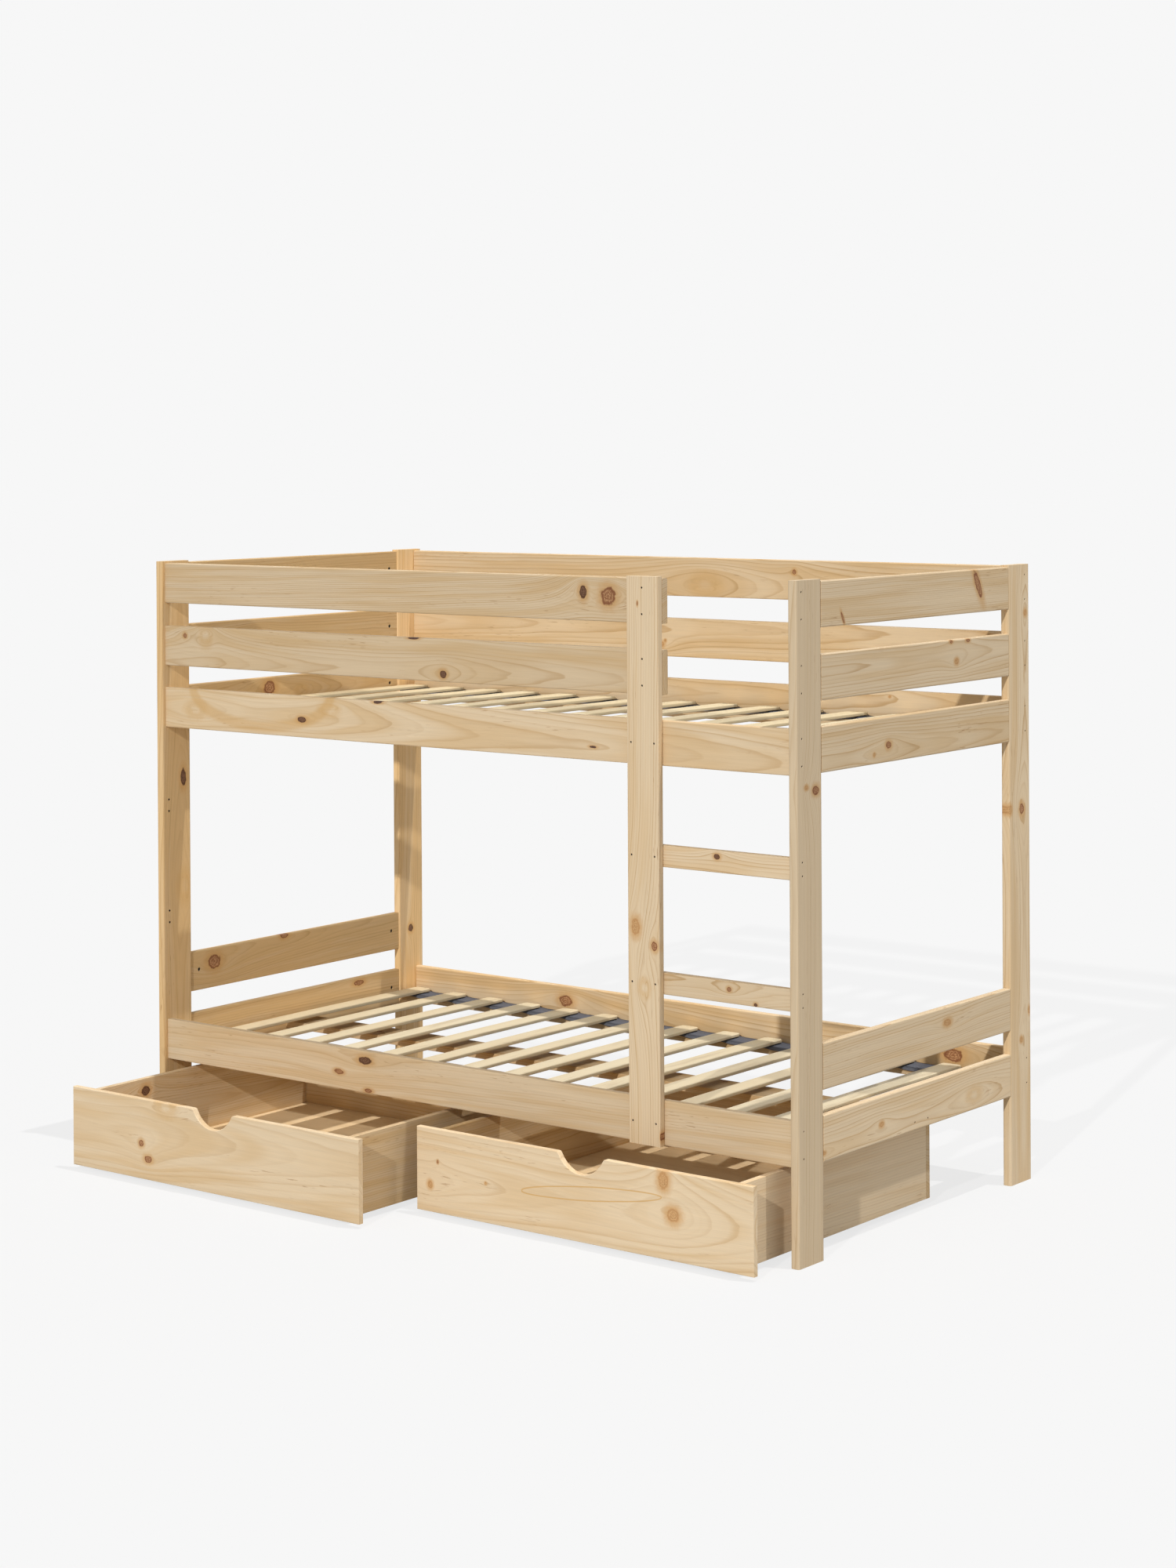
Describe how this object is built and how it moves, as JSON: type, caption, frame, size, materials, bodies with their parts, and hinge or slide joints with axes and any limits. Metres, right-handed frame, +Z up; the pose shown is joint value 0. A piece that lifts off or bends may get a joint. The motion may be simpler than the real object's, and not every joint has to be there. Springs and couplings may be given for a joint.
{
  "type": "bunk bed with drawers",
  "caption": "Bunk bed of bare pine boards with a ladder, guard rails, slatted berths and storage drawers that roll out from under the lower berth.",
  "frame": {"origin": "on the floor, at the middle of the whole piece's length and depth with its drawers as pictured", "axes": "+X along the bed towards the ladder end, +Y from the front to the rear, +Z up"},
  "size_m": [1.96, 1.279, 1.462],
  "materials": {
    "pine": "planed, bare",
    "drawer_pine": "planed, bare",
    "slat_pine": "planed, bare, with dark woven straps",
    "fibreboard": "smooth",
    "wheel_plastic": "moulded",
    "bracket_steel": "zinc plated"
  },
  "bodies": {
    "bed_frame": {"centre_beam": "pine", "end_left_board": "pine", "end_left_guard_low": "pine", "end_left_guard_top": "pine", "end_left_lower": "pine", "end_left_upper": "pine", "end_right_board": "pine", "end_right_guard_low": "pine", "end_right_guard_top": "pine", "end_right_lower": "pine", "end_right_upper": "pine", "guard_front_low": "pine", "guard_front_top": "pine", "guard_rear_low": "pine", "guard_rear_top": "pine", "ladder_post": "pine", "ledger_lower_front": "pine", "ledger_lower_rear": "pine", "ledger_upper_front": "pine", "ledger_upper_rear": "pine", "post_front_left": "pine", "post_front_right": "pine", "post_rear_left": "pine", "post_rear_right": "pine", "rail_front_lower": "pine", "rail_front_upper": "pine", "rail_rear_lower": "pine", "rail_rear_upper": "pine", "rung_lower": "pine", "rung_upper": "pine", "slat_base_lower": "slat_pine", "slat_base_upper": "slat_pine"},
    "drawer_left": {"drawer_left_back": "pine", "drawer_left_bottom": "fibreboard", "drawer_left_bracket_front_left": "bracket_steel", "drawer_left_bracket_front_right": "bracket_steel", "drawer_left_bracket_rear_left": "bracket_steel", "drawer_left_bracket_rear_right": "bracket_steel", "drawer_left_front": "drawer_pine", "drawer_left_side_left": "pine", "drawer_left_side_right": "pine"},
    "drawer_left_wheel_front_left": {"drawer_left_wheel_front_left": "wheel_plastic"},
    "drawer_left_wheel_front_right": {"drawer_left_wheel_front_right": "wheel_plastic"},
    "drawer_left_wheel_rear_left": {"drawer_left_wheel_rear_left": "wheel_plastic"},
    "drawer_left_wheel_rear_right": {"drawer_left_wheel_rear_right": "wheel_plastic"},
    "drawer_right": {"drawer_right_back": "pine", "drawer_right_bottom": "fibreboard", "drawer_right_bracket_front_left": "bracket_steel", "drawer_right_bracket_front_right": "bracket_steel", "drawer_right_bracket_rear_left": "bracket_steel", "drawer_right_bracket_rear_right": "bracket_steel", "drawer_right_front": "drawer_pine", "drawer_right_side_left": "pine", "drawer_right_side_right": "pine"},
    "drawer_right_wheel_front_left": {"drawer_right_wheel_front_left": "wheel_plastic"},
    "drawer_right_wheel_front_right": {"drawer_right_wheel_front_right": "wheel_plastic"},
    "drawer_right_wheel_rear_left": {"drawer_right_wheel_rear_left": "wheel_plastic"},
    "drawer_right_wheel_rear_right": {"drawer_right_wheel_rear_right": "wheel_plastic"}
  },
  "joints": [
    {"name": "drawer_left_slide", "type": "slide", "parent": "bed_frame", "child": "drawer_left", "axis": [0, -1, 0], "range_m": [-0.322, 0.378]},
    {"name": "drawer_left_wheel_front_left_spin", "type": "hinge", "parent": "drawer_left", "child": "drawer_left_wheel_front_left", "pos_m": [-0.857, -0.5545, 0.012], "axis": [1, 0, 0], "continuous": true},
    {"name": "drawer_left_wheel_front_right_spin", "type": "hinge", "parent": "drawer_left", "child": "drawer_left_wheel_front_right", "pos_m": [-0.092, -0.5545, 0.012], "axis": [1, 0, 0], "continuous": true},
    {"name": "drawer_left_wheel_rear_left_spin", "type": "hinge", "parent": "drawer_left", "child": "drawer_left_wheel_rear_left", "pos_m": [-0.857, 0.0325, 0.012], "axis": [1, 0, 0], "continuous": true},
    {"name": "drawer_left_wheel_rear_right_spin", "type": "hinge", "parent": "drawer_left", "child": "drawer_left_wheel_rear_right", "pos_m": [-0.092, 0.0325, 0.012], "axis": [1, 0, 0], "continuous": true},
    {"name": "drawer_right_slide", "type": "slide", "parent": "bed_frame", "child": "drawer_right", "axis": [0, -1, 0], "range_m": [-0.1425, 0.5575]},
    {"name": "drawer_right_wheel_front_left_spin", "type": "hinge", "parent": "drawer_right", "child": "drawer_right_wheel_front_left", "pos_m": [0.101, -0.375, 0.012], "axis": [1, 0, 0], "continuous": true},
    {"name": "drawer_right_wheel_front_right_spin", "type": "hinge", "parent": "drawer_right", "child": "drawer_right_wheel_front_right", "pos_m": [0.866, -0.375, 0.012], "axis": [1, 0, 0], "continuous": true},
    {"name": "drawer_right_wheel_rear_left_spin", "type": "hinge", "parent": "drawer_right", "child": "drawer_right_wheel_rear_left", "pos_m": [0.101, 0.212, 0.012], "axis": [1, 0, 0], "continuous": true},
    {"name": "drawer_right_wheel_rear_right_spin", "type": "hinge", "parent": "drawer_right", "child": "drawer_right_wheel_rear_right", "pos_m": [0.866, 0.212, 0.012], "axis": [1, 0, 0], "continuous": true}
  ],
  "couplings": [
    {"joint": "drawer_left_wheel_front_left_spin", "follows": "drawer_left_slide", "rad_per_m": 83.333},
    {"joint": "drawer_left_wheel_front_right_spin", "follows": "drawer_left_slide", "rad_per_m": 83.333},
    {"joint": "drawer_left_wheel_rear_left_spin", "follows": "drawer_left_slide", "rad_per_m": 83.333},
    {"joint": "drawer_left_wheel_rear_right_spin", "follows": "drawer_left_slide", "rad_per_m": 83.333},
    {"joint": "drawer_right_wheel_front_left_spin", "follows": "drawer_right_slide", "rad_per_m": 83.333},
    {"joint": "drawer_right_wheel_front_right_spin", "follows": "drawer_right_slide", "rad_per_m": 83.333},
    {"joint": "drawer_right_wheel_rear_left_spin", "follows": "drawer_right_slide", "rad_per_m": 83.333},
    {"joint": "drawer_right_wheel_rear_right_spin", "follows": "drawer_right_slide", "rad_per_m": 83.333}
  ]
}
